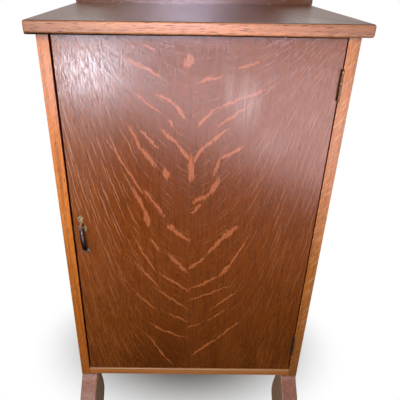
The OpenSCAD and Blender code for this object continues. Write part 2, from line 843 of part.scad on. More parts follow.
// Helical spring between the plunger and the closed end of the sleeve
module catch_spring() {
    low = flange_t + fit + plunger_l + spring_wire_r + fit;
    high = sleeve_l - sleeve_end - spring_wire_r - fit;
    sides = 6;
    rings = spring_turns * 10;
    color(steel) placed() catch_place() skin([for (i = [0 : rings])
        let (a = i * 360 * spring_turns / rings, z = low + (high - low) * i / rings)
            [for (s = [0 : sides - 1]) let (b = s * 360 / sides, r = spring_r + spring_wire_r * cos(b))
                [r * cos(a), r * sin(a), z + spring_wire_r * sin(b)]]]);
}

// Strike plate let into the side panel, with a shallow dish for the plunger's nose
module strike_plate() {
    color(old_brass) placed() difference() {
        box([-inner_x - strike_t, catch_y - strike_d / 2 + fit, catch_z - strike_l / 2 + fit],
            [-inner_x, catch_y + strike_d / 2 - fit, catch_z + strike_l / 2 - fit]);
        translate([-inner_x + dish_r - dish_in, catch_y, catch_z]) sphere(r = dish_r, $fn = 48);
        at_strike_screws() screw_bore(strike_screw_l, small_r, small_head_r);
    }
}
module strike_screws() {
    color(old_brass) placed() at_strike_screws() screw(strike_screw_l, small_r, small_head_r);
}

side_panel_left();
side_panel_right();
bottom_board();
rail_front();
rail_back();
back_board_left();
back_board_middle();
back_board_right();
back_nails();
shelf_1();
shelf_2();
shelf_3();
shelf_4();
shelf_5();
shelf_6();
door_stop();
top_board();
top_screws();
crest_rail();
crest_dowels();
foot_front_left();
foot_front_right();
foot_rear_left();
foot_rear_right();
foot_dowels();
glue_blocks();
hinge_case_leaf_upper();
hinge_case_leaf_lower();
hinge_pin_upper();
hinge_pin_lower();
hinge_case_screws();
strike_plate();
strike_screws();
door_core();
door_veneer_left();
door_veneer_right();
door_veneer_back();
hinge_door_leaf_upper();
hinge_door_leaf_lower();
hinge_door_screws();
pull_plate_upper();
pull_foot();
pull_post();
pull_grip();
pull_screws();
pull_nut();
catch_sleeve();
catch_spring();
catch_plunger();
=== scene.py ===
import math
import bpy
from mathutils import Matrix, Vector


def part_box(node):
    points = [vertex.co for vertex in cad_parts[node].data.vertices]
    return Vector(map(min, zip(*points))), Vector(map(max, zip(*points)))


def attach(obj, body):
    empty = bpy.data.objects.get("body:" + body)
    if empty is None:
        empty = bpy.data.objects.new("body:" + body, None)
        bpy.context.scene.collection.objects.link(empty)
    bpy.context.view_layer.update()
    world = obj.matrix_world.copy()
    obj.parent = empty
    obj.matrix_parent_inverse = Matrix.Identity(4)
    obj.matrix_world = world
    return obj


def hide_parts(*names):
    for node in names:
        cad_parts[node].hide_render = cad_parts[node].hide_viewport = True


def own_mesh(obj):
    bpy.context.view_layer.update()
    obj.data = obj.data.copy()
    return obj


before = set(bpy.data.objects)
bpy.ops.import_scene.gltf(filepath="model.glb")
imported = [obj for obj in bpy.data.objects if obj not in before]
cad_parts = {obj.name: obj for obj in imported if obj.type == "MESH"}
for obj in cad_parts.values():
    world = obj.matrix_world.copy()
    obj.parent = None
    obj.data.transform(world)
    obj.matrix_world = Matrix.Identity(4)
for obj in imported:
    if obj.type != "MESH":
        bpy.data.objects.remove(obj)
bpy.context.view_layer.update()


# Side panels. Two boards of quarter-sawn oak that carry everything else: their front
# edges are the stiles beside the door, planed, stained and varnished in one go, with
# arrises that wear and cleaning have rounded. The broad sides are duller than the front.

MM = 0.001


def linear(code):
    """sRGB hex colour to the linear RGBA that the shaders take."""
    parts = [int(code[i:i + 2], 16) / 255 for i in (1, 3, 5)]
    return [c / 12.92 if c <= 0.04045 else ((c + 0.055) / 1.055) ** 2.4 for c in parts] + [1.0]


def add(tree, kind, inputs=(), **settings):
    """Adds a node. Inputs are given in order or by name, as a value, a socket or a whole node."""
    node = tree.nodes.new("ShaderNode" + kind)
    for name, value in settings.items():
        setattr(node, name, value)
    for key, value in inputs.items() if isinstance(inputs, dict) else enumerate(inputs):
        if isinstance(value, bpy.types.Node):
            value = value.outputs[0]
        if isinstance(value, bpy.types.NodeSocket):
            tree.links.new(value, node.inputs[key])
        elif value is not None:
            node.inputs[key].default_value = value
    return node


def streaks(tree, place, sizes, detail=2.0, seed=0.0):
    """Soft noise stretched to the given size in millimetres along each axis, from 0 to 1."""
    scaled = add(tree, "VectorMath", (place, [1 / (s * MM) for s in sizes]), operation="MULTIPLY")
    moved = add(tree, "VectorMath", (scaled, (seed, seed, seed)), operation="ADD")
    return add(tree, "TexNoise", {"Vector": moved, "Scale": 1.0, "Detail": detail, "Roughness": 0.55})


def lens_flecks(tree, along, across, cell, half, seed, spread=1.0):
    """Ray flecks: one lens-shaped streak in each cell, long in one coordinate and thin in the
    other. Spread is how fast the second coordinate grows, so that the streaks keep their width."""
    coords = add(tree, "CombineXYZ", (
        add(tree, "Math", (along, 1 / (cell[0] * MM), seed), operation="MULTIPLY_ADD"),
        add(tree, "Math", (across, 1 / (cell[1] * MM), seed), operation="MULTIPLY_ADD")))
    cells = add(tree, "TexVoronoi", {"Vector": coords, "Scale": 1.0, "Randomness": 0.85},
                voronoi_dimensions="2D")
    offset = add(tree, "SeparateXYZ", (add(tree, "VectorMath", (coords, cells.outputs["Position"]),
                                           operation="SUBTRACT"),))
    chance = add(tree, "SeparateColor", (cells.outputs["Color"],))
    reach = add(tree, "Math", (offset.outputs[0], cell[0] / half[0]), operation="MULTIPLY")
    taper = add(tree, "Math", (1.0, add(tree, "Math", (reach, reach), operation="MULTIPLY")),
                operation="SUBTRACT")
    # Chance gives each streak its strength, and leaves one cell in ten empty
    full = add(tree, "MapRange", {"Value": chance, "From Min": 0.1, "From Max": 0.8})
    room = add(tree, "Math", (taper, full), operation="MULTIPLY")
    aside = add(tree, "Math", (offset.outputs[1],), operation="ABSOLUTE")
    thin = add(tree, "Math", (aside, cell[1] / half[1]), operation="MULTIPLY")
    thin = add(tree, "Math", (thin, spread), operation="DIVIDE")
    return add(tree, "MapRange", {"Value": add(tree, "Math", (room, thin), operation="SUBTRACT"),
                                  "From Min": 0.0, "From Max": 0.3}, interpolation_type="SMOOTHSTEP")


def varnished_oak(name, grain, colours, seed, fleck=1.0, pore=0.6, roughness=0.36, specular=0.3,
                  ends=1.0):
    """Oak under old varnish. Annual rings run as streaks along the grain, pores as short dark dashes, and
    the rays as pale flecks that cross the grain at a slant. A painted shade darkens it towards the
    floor, and the ends factor darkens it towards the two ends of the board."""
    ground, pale, dark, ray = colours
    material = bpy.data.materials.new(name)
    material.use_nodes = True
    tree = material.node_tree
    shader = tree.nodes["Principled BSDF"]
    place = add(tree, "TexCoord").outputs["Object"]
    length = add(tree, "SeparateXYZ", (place,)).outputs[grain]
    width = add(tree, "VectorMath", (place, [float(axis != grain) for axis in "XYZ"]),
                operation="DOT_PRODUCT").outputs["Value"]
    # Rings 4 mm apart and pores 0.9 mm wide, a little coarser than real ones so that they show
    sizes = lambda wide, long: [long if axis == grain else wide for axis in "XYZ"]
    clouds = streaks(tree, place, sizes(wide=45, long=200), seed=seed)
    rings = streaks(tree, place, sizes(wide=4, long=160), detail=3, seed=seed + 3)
    pores = streaks(tree, place, sizes(wide=0.9, long=14), seed=seed + 7)
    # Ray flecks up to 14 mm long and 2 mm wide, bent by a soft warp
    warp = streaks(tree, place, (12, 12, 12), seed=seed + 11)
    slope = 1.2
    slant = add(tree, "Math", (width, -slope, length), operation="MULTIPLY_ADD")
    across = add(tree, "Math", (warp, 10 * MM, slant), operation="MULTIPLY_ADD")
    flecks = lens_flecks(tree, width, across, cell=(11, 6), half=(7, 0.9), seed=seed,
                         spread=math.hypot(1, slope))
    tone = add(tree, "Mix", {0: add(tree, "MapRange", {"Value": clouds, "From Min": 0.3, "From Max": 0.7}),
                             6: linear(ground), 7: linear(pale)}, data_type="RGBA")
    ringed = add(tree, "Mix", {0: add(tree, "MapRange", {"Value": rings, "From Min": 0.42, "From Max": 0.75,
                                                        "To Max": 0.55}),
                               6: tone.outputs[2], 7: linear(dark)}, data_type="RGBA")
    fleck_cover = 0.75
    rayed = add(tree, "Mix", {0: add(tree, "Math", (flecks, fleck_cover * fleck), operation="MULTIPLY"),
                              6: ringed.outputs[2], 7: linear(ray)}, data_type="RGBA")
    open_pores = add(tree, "MapRange", {"Value": pores, "From Min": 0.56, "From Max": 0.7})
    pored = add(tree, "Mix", {0: add(tree, "Math", (open_pores, pore), operation="MULTIPLY"),
                              6: rayed.outputs[2], 7: linear(dark)}, data_type="RGBA")
    axes = add(tree, "SeparateXYZ", (place,))
    # Painted shade: the colour falls to 0.4 of itself towards the floor, as the light falls off
    floor_shade = add(tree, "MapRange", {"Value": axes.outputs["Z"], "From Min": 120 * MM, "From Max": 500 * MM,
                                    "To Min": 0.4})
    sideways = add(tree, "Math", (axes.outputs["X"],), operation="ABSOLUTE")
    # Darker towards the two ends along X, by the ends factor
    towards_ends = add(tree, "MapRange", {"Value": sideways, "From Min": 50 * MM, "From Max": 220 * MM,
                                     "To Min": 1.0, "To Max": ends})
    darkened = add(tree, "VectorMath", {0: pored.outputs[2], "Scale": add(
        tree, "Math", (floor_shade, towards_ends), operation="MULTIPLY")}, operation="SCALE")
    tree.links.new(darkened.outputs[0], shader.inputs["Base Color"])
    dull = add(tree, "MapRange", {"Value": clouds, "From Min": 0.3, "From Max": 0.7,
                                  "To Min": roughness - 0.05, "To Max": roughness + 0.08})
    tree.links.new(dull.outputs[0], shader.inputs["Roughness"])
    relief = add(tree, "Math", (open_pores, -1.0), operation="MULTIPLY")
    bump = add(tree, "Bump", {"Height": relief, "Distance": 0.08 * MM, "Strength": 0.6})
    tree.links.new(bump.outputs[0], shader.inputs["Normal"])
    shader.inputs["IOR"].default_value = 1.5
    shader.inputs["Specular IOR Level"].default_value = specular
    return material


def finish(material, *nodes):
    """Gives a material to every slot of these carried-over nodes."""
    for node in nodes:
        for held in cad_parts[node].material_slots:
            held.material = material


def at(node):
    """Tests, on the box of a node, whether both ends of an edge lie on a side of it."""
    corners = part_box(node)
    touching = 0.02 * MM

    def lies(p, q, axis, side):
        level = corners[side][axis]
        return abs(p[axis] - level) < touching and abs(q[axis] - level) < touching
    return lies


def box_edges(lies, p, q):
    """The twelve edges of a board's box."""
    return sum(lies(p, q, axis, side) for axis in range(3) for side in range(2)) >= 2


def merged_copy(node, ending):
    """A copy of a node with its loose triangles joined, selected for more work."""
    piece = bpy.data.objects.new(node + ending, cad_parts[node].data.copy())
    bpy.context.scene.collection.objects.link(piece)
    bpy.ops.object.select_all(action="DESELECT")
    bpy.context.view_layer.objects.active = piece
    piece.select_set(True)
    bpy.context.tool_settings.mesh_select_mode = (False, True, False)
    bpy.ops.object.mode_set(mode="EDIT")
    bpy.ops.mesh.customdata_custom_splitnormals_clear()
    bpy.ops.mesh.select_all(action="SELECT")
    bpy.ops.mesh.remove_doubles(threshold=0.005 * MM)
    bpy.ops.object.mode_set(mode="OBJECT")
    return piece


def softened(node, body, material, radius, arris, segments=3):
    """A copy of a node, its arrises rounded over, that stands for it."""
    piece = merged_copy(node, "_softened")
    bpy.ops.object.mode_set(mode="EDIT")
    bpy.ops.mesh.dissolve_limited(angle_limit=math.radians(0.2))
    bpy.ops.mesh.select_all(action="DESELECT")
    bpy.ops.object.mode_set(mode="OBJECT")
    lies = at(node)
    points = piece.data.vertices
    for edge in piece.data.edges:
        edge.select = arris(lies, points[edge.vertices[0]].co, points[edge.vertices[1]].co)
    bpy.ops.object.mode_set(mode="EDIT")
    bpy.ops.mesh.bevel(offset=radius * MM, segments=segments, affect="EDGES", clamp_overlap=True)
    bpy.ops.object.mode_set(mode="OBJECT")
    bpy.ops.object.shade_smooth_by_angle(angle=math.radians(32))
    piece.modifiers.new("flat_faces", "WEIGHTED_NORMAL").keep_sharp = True
    bpy.ops.object.modifier_apply(modifier="flat_faces")
    piece.data.materials.clear()
    piece.data.materials.append(material)
    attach(piece, body)
    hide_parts(node)
    return piece


def refinished(piece, material, chosen):
    """Gives a second material to the faces that a test on their normal chooses."""
    piece.data.materials.append(material)
    for face in piece.data.polygons:
        face.material_index = int(chosen(face.normal))


# A face looks along an axis where its normal has more than this share of it
facing = 0.8

case_oak = ["#dc7814", "#e6881e", "#9a4c08", "#f2b468"]
broad_oak = varnished_oak("oak_golden_broad", "Z", case_oak, seed=1.3, fleck=0.5, pore=0.85, roughness=0.55,
                          specular=0.12)

# Painted shade: the inner faces are painted dark red as far back as the door reaches, so that the gaps
# beside the door read dark
broad_tree = broad_oak.node_tree
broad_colour = broad_tree.nodes["Principled BSDF"].inputs["Base Color"]
broad_axes = add(broad_tree, "SeparateXYZ", (add(broad_tree, "TexCoord").outputs["Object"],))
door_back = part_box("side_panel_left")[0][1] + 24 * MM
gap_shade_blend = 2 * MM
inside_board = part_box("side_panel_right")[0][0] + 8 * MM
from_middle = add(broad_tree, "Math", (broad_axes.outputs["X"],), operation="ABSOLUTE")
inner_side = add(broad_tree, "Math", (from_middle, inside_board), operation="LESS_THAN")
gap_reach = add(broad_tree, "MapRange", {"Value": broad_axes.outputs["Y"], "From Min": door_back - gap_shade_blend,
                                   "From Max": door_back + gap_shade_blend, "To Min": 1.0, "To Max": 0.0})
gap_shade_mix = add(broad_tree, "Mix", {0: add(broad_tree, "Math", (inner_side, gap_reach), operation="MULTIPLY"),
                                  6: broad_colour.links[0].from_socket, 7: linear("#5a0c06")},
              data_type="RGBA")
broad_tree.links.new(gap_shade_mix.outputs[2], broad_colour)

# The stiles are glossy, and mirror the windows; the right one is duller in colour and shows
# more of the rays
for side, fleck, stain in (("left", 0.3, ["#dc7812", "#e68618", "#6c3204", "#f2b66c"]),
                           ("right", 0.9, ["#c0701a", "#ca7a26", "#603008", "#e0ae76"])):
    stile_oak = varnished_oak("oak_golden_" + side, "Z", stain, seed=1.3, fleck=fleck, pore=0.95,
                              roughness=0.28, specular=0.5)
    panel = softened("side_panel_" + side, "case", stile_oak, radius=1.2, arris=box_edges)
    refinished(panel, broad_oak, lambda normal: abs(normal.x) > facing)


# Bottom board. Oak too, let into the sides, so that its planed front edge shows as a thin
#  rail below the door, its upper arris rounded, with a painted highlight along it.

bottom_oak = varnished_oak("oak_golden_lengthwise", "X", ["#f09848", "#f8a854", "#a85c1c", "#ffc888"],
                           seed=4.1, fleck=0.3)
arris_highlight_oak = varnished_oak("oak_golden_arris_highlight", "X", ["#ffd09c", "#ffd8a8", "#c08850", "#ffe4c0"],
                           seed=4.1, fleck=0.3)
bottom = softened("bottom_board", "case", bottom_oak, radius=2.2, arris=box_edges)
# Painted highlight: the rounded faces between the front and the upper side take a paler copy of the oak,
# where the arris catches the light
upwards_least, upwards_most, forwards = 0.3, 0.95, 0.2
refinished(bottom, arris_highlight_oak,
           lambda normal: upwards_least < normal.z < upwards_most and normal.y < -forwards)


# Top board. One wide oak board, its face dark and glossy under many coats of varnish, its
# softly rounded edges worn back to the pale wood with the pores still filled with stain. The
# gloss is gone towards the two ends.

dark_colours = ["#6c422a", "#7a4c30", "#3e2416", "#8a5e42"]
top_oak = varnished_oak("oak_top_dark_gloss", "X", dark_colours, seed=6.4, fleck=0.35, specular=0.35)
top_tree = top_oak.node_tree
top_axes = add(top_tree, "SeparateXYZ", (add(top_tree, "TexCoord").outputs["Object"],))
from_centre = add(top_tree, "Math", (top_axes.outputs["X"],), operation="ABSOLUTE")
worn = add(top_tree, "MapRange", {"Value": from_centre, "From Min": 80 * MM, "From Max": 200 * MM,
                                  "To Min": 0.12, "To Max": 0.4}, interpolation_type="SMOOTHSTEP")
top_tree.links.new(worn.outputs[0], top_tree.nodes["Principled BSDF"].inputs["Roughness"])
edge_oak = varnished_oak("oak_top_edge_worn", "X", ["#dc9068", "#eca478", "#6e3824", "#f0bc94"],
                         seed=3.2, fleck=0.3, pore=1.0, roughness=0.3, ends=0.55)


def rim(lies, p, q):
    """The outline of the top board, without its dowel holes."""
    if not (lies(p, q, 2, 0) or lies(p, q, 2, 1)):
        return False
    low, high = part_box("top_board")
    edge_zone = 4.5 * MM
    near = lambda v: any(min(v[a] - low[a], high[a] - v[a]) < edge_zone for a in (0, 1))
    return near(p) and near(q)


top = softened("top_board", "case", top_oak, radius=3.6, arris=rim, segments=4)
refinished(top, edge_oak, lambda normal: normal.z < facing)


# Crest rail. A sawn board that stands on the back of the top, glued and dowelled, its
# outline sanded smooth. Dark like the top, it mirrors a little less.

def sawn_outline(axis, ends):
    """The outline on the two broad sides of a sawn board, but not where it meets its neighbour."""
    return lambda lies, p, q: (lies(p, q, axis, 0) or lies(p, q, axis, 1)) and not any(
        lies(p, q, 2, end) for end in ends)


crest_oak = varnished_oak("oak_crest_dark", "X", dark_colours, seed=6.4, fleck=0.35, roughness=0.19,
                          specular=0.32)
softened("crest_rail", "case", crest_oak, radius=1.8, arris=sawn_outline(1, (0,)))


# Feet. Four scroll feet band-sawn from thick oak, their curved faces filed smooth and
#  stained like the case, their broad sides painted paler: painted light that stands for the floor's bounce
#  on to them.

foot_oak = varnished_oak("oak_sawn_scroll", "Z", ["#d4866c", "#e89c80", "#683426", "#f4c4a8"],
                         seed=9.2, fleck=0.4, roughness=0.34)
# Painted light: a paler copy of the oak for the broad sides, lit as by the floor below
foot_side_bounce_oak = varnished_oak("oak_sawn_scroll_side_bounce_lit", "Z", ["#f0c49c", "#f8d0a8", "#b48c68", "#fcdcbc"],
                              seed=2.6, fleck=0.3, roughness=0.42)
sideways_least = 0.6
for foot in ("foot_front_left", "foot_front_right", "foot_rear_left", "foot_rear_right"):
    sawn = softened(foot, "case", foot_oak, radius=2.0, arris=sawn_outline(0, (0, 1)))
    refinished(sawn, foot_side_bounce_oak, lambda normal: abs(normal.x) > sideways_least)


# Hidden carpentry. Stretcher rails, shelves, back boards, door core, stop, dowels and glue
# blocks are plain-sawn oak with one coat of shellac, paler and duller than the outside.

inside_colours = ["#9a6a3e", "#b08050", "#6e4526", "#c49a66"]
shelf_oak = varnished_oak("oak_shellac_lengthwise", "X", inside_colours, seed=12.5, fleck=0.2,
                          roughness=0.5, specular=0.25)
back_oak = varnished_oak("oak_shellac_upright", "Z", inside_colours, seed=15.8, fleck=0.2,
                         roughness=0.55, specular=0.25)
front_arris = lambda lies, p, q: lies(p, q, 1, 0) and box_edges(lies, p, q)
back_arris = lambda lies, p, q: lies(p, q, 1, 1) and box_edges(lies, p, q)
for number in range(1, 7):
    softened("shelf_%d" % number, "case", shelf_oak, radius=1.0, arris=front_arris)
finish(shelf_oak, "rail_front", "rail_back", "door_stop", "glue_blocks", "crest_dowels", "foot_dowels")
for board in ("back_board_left", "back_board_middle", "back_board_right"):
    softened(board, "case", back_oak, radius=0.8, arris=back_arris)
finish(back_oak, "door_core")


# Door. Two sheets of quarter-sawn veneer from one flitch, opened like a book and joined at
# the seam, over a thick core: the ray flecks run as nested curves down to the seam.

door_seam = -6 * MM

# The boldest flecks: both ends, in millimetres from the middle of the cabinet and from the
# floor, and the width
bold_flecks = [
    (-19, 764, -8, 778, 13), (-99, 773, -76, 762, 5), (-76, 762, -54, 752, 4), (-74, 791, -57, 785, 3),
    (-57, 723, -32, 712, 4), (-32, 712, -17, 689, 5), (-92, 728, -52, 698, 3), (-43, 687, -35, 677, 4),
    (-52, 673, -28, 649, 4), (-30, 650, -10, 624, 5), (-9, 628, -5, 588, 8), (-102, 676, -84, 642, 4),
    (-86, 645, -59, 610, 6), (-87, 673, -57, 643, 3), (-45, 608, -43, 592, 9), (-81, 572, -50, 527, 4),
    (-99, 578, -80, 525, 4), (-81, 530, -76, 506, 8), (-132, 651, -82, 564, 3), (-42, 508, -33, 496, 9),
    (-36, 500, -8, 476, 5), (-73, 478, -59, 456, 4), (-41, 449, -9, 409, 6), (-94, 466, -67, 411, 3),
    (-53, 402, -8, 368, 4), (-97, 426, -59, 373, 3), (-64, 371, -11, 326, 3), (-99, 356, -64, 321, 3),
    (-40, 312, -8, 293, 3), (-77, 288, -50, 267, 3), (-52, 269, -11, 252, 4), (-87, 263, -37, 181, 3),
    (0, 743, 33, 751, 4), (54, 763, 87, 771, 4), (4, 679, 26, 705, 4), (24, 703, 100, 735, 3),
    (35, 678, 78, 711, 3), (-4, 621, 13, 645, 5), (11, 643, 50, 674, 4), (29, 598, 38, 627, 5),
    (35, 624, 72, 646, 4), (0, 551, 28, 569, 6), (25, 566, 38, 592, 8), (-4, 530, 13, 547, 4),
    (25, 451, 58, 487, 6), (52, 481, 72, 502, 9), (-4, 417, 20, 439, 5), (50, 403, 66, 427, 6),
    (64, 423, 91, 478, 3), (-4, 371, 48, 401, 4), (-2, 346, 64, 377, 3), (38, 325, 83, 368, 3),
    (33, 297, 63, 322, 3), (-4, 277, 16, 286, 3), (6, 207, 50, 249, 4), (48, 246, 88, 289, 3)]

# Painted reflections, pale upright patches on the varnish: middle and radii in millimetres, and how strong
painted_reflection_patches = [(73, 712, 30, 56, 0.28), (46, 731, 11, 38, 0.24), (118, 650, 46, 34, 0.08)]


def ray_veneer(name):
    """Quarter-sawn oak veneer under dark stain: bold flecks listed near the seam, and fine
    ones that follow nested curves, steeper towards the sheets' edges."""
    material = bpy.data.materials.new(name)
    material.use_nodes = True
    tree = material.node_tree
    shader = tree.nodes["Principled BSDF"]
    place = add(tree, "TexCoord").outputs["Object"]
    wander = streaks(tree, place, (45, 45, 60), seed=2.2)
    ragged = streaks(tree, place, (8, 8, 11), seed=5.1)
    axes = add(tree, "SeparateXYZ", (place,))
    offset = add(tree, "Math", (axes.outputs["X"], -door_seam), operation="ADD")
    out = add(tree, "Math", (offset,), operation="ABSOLUTE")
    side = add(tree, "Math", (offset,), operation="SIGN")

    # Bold flecks: the least of the distances to long ovals, each in its own radii, on a sheet
    # whose noise bends them up to 6 mm either way
    sway = 12 * MM
    lifted = add(tree, "Math", (ragged, sway, axes.outputs["Z"]), operation="MULTIPLY_ADD")
    lifted = add(tree, "Math", (lifted, sway / 2), operation="SUBTRACT")
    shifted = add(tree, "Math", (wander, sway, axes.outputs["X"]), operation="MULTIPLY_ADD")
    shifted = add(tree, "Math", (shifted, sway / 2), operation="SUBTRACT")
    sheet = add(tree, "CombineXYZ", (shifted, lifted))
    # Their radii, as shares of the length and of the width
    half_long, half_wide = 0.6, 0.62
    nearest = None
    for x0, z0, x1, z1, wide in bold_flecks:
        long = math.hypot(x1 - x0, z1 - z0)
        own = add(tree, "Mapping", {
            "Vector": sheet, "Location": ((x0 + x1) / 2 * MM, (z0 + z1) / 2 * MM, 0),
            "Rotation": (0, 0, math.atan2(z1 - z0, x1 - x0)),
            "Scale": (half_long * long * MM, half_wide * wide * MM, 1)}, vector_type="TEXTURE")
        away = add(tree, "VectorMath", (own,), operation="LENGTH").outputs["Value"]
        nearest = away if nearest is None else add(tree, "Math", (nearest, away), operation="MINIMUM")
    # The stitches fray their edges. They, the fibres and the pores below are 1.3 to 1.8 mm
    # wide, several times coarser than real ones so that they show
    stitches = streaks(tree, place, (1.5, 1.5, 9), seed=12.3)
    fray = 1.6
    frayed = add(tree, "Math", (stitches, fray, nearest), operation="MULTIPLY_ADD")
    bold = add(tree, "MapRange", {"Value": frayed, "From Min": 1.95, "From Max": 1.45},
               interpolation_type="SMOOTHSTEP")

    # Fine flecks: the line coordinate is level along a fleck. The flecks slope up from the
    # seam, grow steeper with the third power of the way out and level off near the top, and
    # spread is how fast the line coordinate changes with that
    slope, steepening, levelling = 0.7, 53.0, 40.0
    level_from, level_shift = 640 * MM, 20 * MM
    rise = add(tree, "Math", (side, level_shift, axes.outputs["Z"]), operation="MULTIPLY_ADD")
    rise = add(tree, "Math", (rise, level_from), operation="SUBTRACT")
    rise = add(tree, "Math", (rise, 0.0), operation="MAXIMUM")
    rise_squared = add(tree, "Math", (rise, rise), operation="MULTIPLY")
    rise_cubed = add(tree, "Math", (rise_squared, rise), operation="MULTIPLY")
    lift = add(tree, "Math", (rise_cubed, levelling, axes.outputs["Z"]), operation="MULTIPLY_ADD")
    out_squared = add(tree, "Math", (out, out), operation="MULTIPLY")
    steep = add(tree, "Math", (out_squared, steepening, slope), operation="MULTIPLY_ADD")
    drop = add(tree, "Math", (steep, out), operation="MULTIPLY")
    line = add(tree, "Math", (lift, drop), operation="SUBTRACT")
    line = add(tree, "Math", (wander, 25 * MM, line), operation="MULTIPLY_ADD")
    across = add(tree, "Math", (ragged, 5 * MM, line), operation="MULTIPLY_ADD")
    along = add(tree, "Math", (out, drop), operation="ADD")
    spread_up = add(tree, "Math", (rise_squared, 3 * levelling, 1.0), operation="MULTIPLY_ADD")
    spread_out = add(tree, "Math", (out_squared, 3 * steepening, slope), operation="MULTIPLY_ADD")
    spread = add(tree, "VectorMath", (add(tree, "CombineXYZ", (spread_up, spread_out)),),
                 operation="LENGTH").outputs["Value"]
    # Each sheet has seeds of its own
    sided = lambda seed: add(tree, "Math", (side, 3.3, seed), operation="MULTIPLY_ADD")
    inner = lens_flecks(tree, along, across, cell=(50, 13), half=(26, 1.3), seed=sided(0.4), spread=spread)
    outer = lens_flecks(tree, along, across, cell=(90, 32), half=(46, 0.9), seed=sided(8.7), spread=spread)
    more = lens_flecks(tree, along, across, cell=(60, 36), half=(27, 0.7), seed=sided(13.9), spread=spread)
    near = add(tree, "MapRange", {"Value": out, "From Min": 50 * MM, "From Max": 100 * MM,
                                  "To Min": 0.3, "To Max": 0.1})
    # The left sheet shows more of them than the right one
    shown = add(tree, "Math", (side, -0.22, 0.76), operation="MULTIPLY_ADD")
    wide = add(tree, "MapRange", {"Value": out, "From Min": 60 * MM, "From Max": 100 * MM,
                                  "To Min": 0.1, "To Max": shown})
    inner = add(tree, "Math", (inner, near), operation="MULTIPLY")
    outer = add(tree, "Math", (outer, more), operation="MAXIMUM")
    outer = add(tree, "Math", (outer, wide), operation="MULTIPLY")
    fine = add(tree, "Math", (inner, outer), operation="MAXIMUM")

    # Ground: a painted shade darkens it towards the floor; paler at the left edge, an amber patch left of
    # the seam
    clouds = streaks(tree, place, (60, 60, 160), seed=3.3)
    fibres = streaks(tree, place, (1.8, 1.8, 40), detail=3, seed=6.6)
    pores = streaks(tree, place, (1.3, 1.3, 9), seed=9.9)
    amber_place = add(tree, "Mapping", {"Vector": place, "Location": (-100 * MM, 0, 555 * MM),
                                        "Scale": (45 * MM, 1, 150 * MM)}, vector_type="TEXTURE")
    amber_flat = add(tree, "VectorMath", (amber_place, (1.0, 0.0, 1.0)), operation="MULTIPLY")
    amber_away = add(tree, "VectorMath", (amber_flat,), operation="LENGTH").outputs["Value"]
    amber = add(tree, "MapRange", {"Value": amber_away, "From Min": 1.3, "From Max": 0.2, "To Max": 0.9},
                interpolation_type="SMOOTHSTEP")
    shade_rise = add(tree, "MapRange", {"Value": axes.outputs["Z"], "From Min": 170 * MM, "From Max": 450 * MM})
    tone = add(tree, "Mix", {0: shade_rise, 6: linear("#5a2a02"), 7: linear("#84400a")}, data_type="RGBA")
    outward = add(tree, "MapRange", {"Value": axes.outputs["X"], "From Min": -110 * MM,
                                     "From Max": -200 * MM, "To Max": 0.4})
    tone = add(tree, "Mix", {0: add(tree, "Math", (outward, shade_rise), operation="MULTIPLY"),
                             6: tone.outputs[2], 7: linear("#a45a20")}, data_type="RGBA")
    warm = add(tree, "Mix", {0: amber, 6: tone.outputs[2], 7: linear("#843c00")}, data_type="RGBA")
    clouded = add(tree, "Mix", {0: add(tree, "MapRange", {"Value": clouds, "From Min": 0.42, "From Max": 0.7,
                                                         "To Max": 0.5}),
                                6: warm.outputs[2], 7: linear("#844616")}, data_type="RGBA")
    fibred = add(tree, "Mix", {0: add(tree, "MapRange", {"Value": fibres, "From Min": 0.42, "From Max": 0.75,
                                                        "To Max": 0.5}),
                               6: clouded.outputs[2], 7: linear("#3e1c06")}, data_type="RGBA")
    hairs = add(tree, "MapRange", {"Value": stitches, "From Min": 0.5, "From Max": 0.75, "To Max": 0.45})
    haired = add(tree, "Mix", {0: add(tree, "Math", (hairs, wide), operation="MULTIPLY"),
                               6: fibred.outputs[2], 7: linear("#a8602a")}, data_type="RGBA")
    # Painted reflection: the flecks are paler and pinker towards the top, and stand out less there, as under
    # a haze of reflected light
    haze_tint = add(tree, "MapRange", {"Value": axes.outputs["Z"], "From Min": 300 * MM, "From Max": 650 * MM})
    fine_tone = add(tree, "Mix", {0: haze_tint, 6: linear("#945820"), 7: linear("#cc8e6c")}, data_type="RGBA")
    bold_tone = add(tree, "Mix", {0: haze_tint, 6: linear("#a8602c"), 7: linear("#d07850")}, data_type="RGBA")
    faint = add(tree, "MapRange", {"Value": axes.outputs["Z"], "From Min": 550 * MM,
                                   "From Max": 780 * MM, "To Min": 0.8, "To Max": 0.5})
    fined = add(tree, "Mix", {0: add(tree, "Math", (fine, faint), operation="MULTIPLY"),
                              6: haired.outputs[2], 7: fine_tone.outputs[2]}, data_type="RGBA")
    clear = add(tree, "MapRange", {"Value": axes.outputs["Z"], "From Min": 450 * MM,
                                   "From Max": 780 * MM, "To Min": 0.85, "To Max": 0.62})
    rayed = add(tree, "Mix", {0: add(tree, "Math", (bold, clear), operation="MULTIPLY"),
                              6: fined.outputs[2], 7: bold_tone.outputs[2]}, data_type="RGBA")
    open_pores = add(tree, "MapRange", {"Value": pores, "From Min": 0.56, "From Max": 0.7})
    pore_cover = 0.45
    pored = add(tree, "Mix", {0: add(tree, "Math", (open_pores, pore_cover), operation="MULTIPLY"),
                              6: rayed.outputs[2], 7: linear("#341604")}, data_type="RGBA")

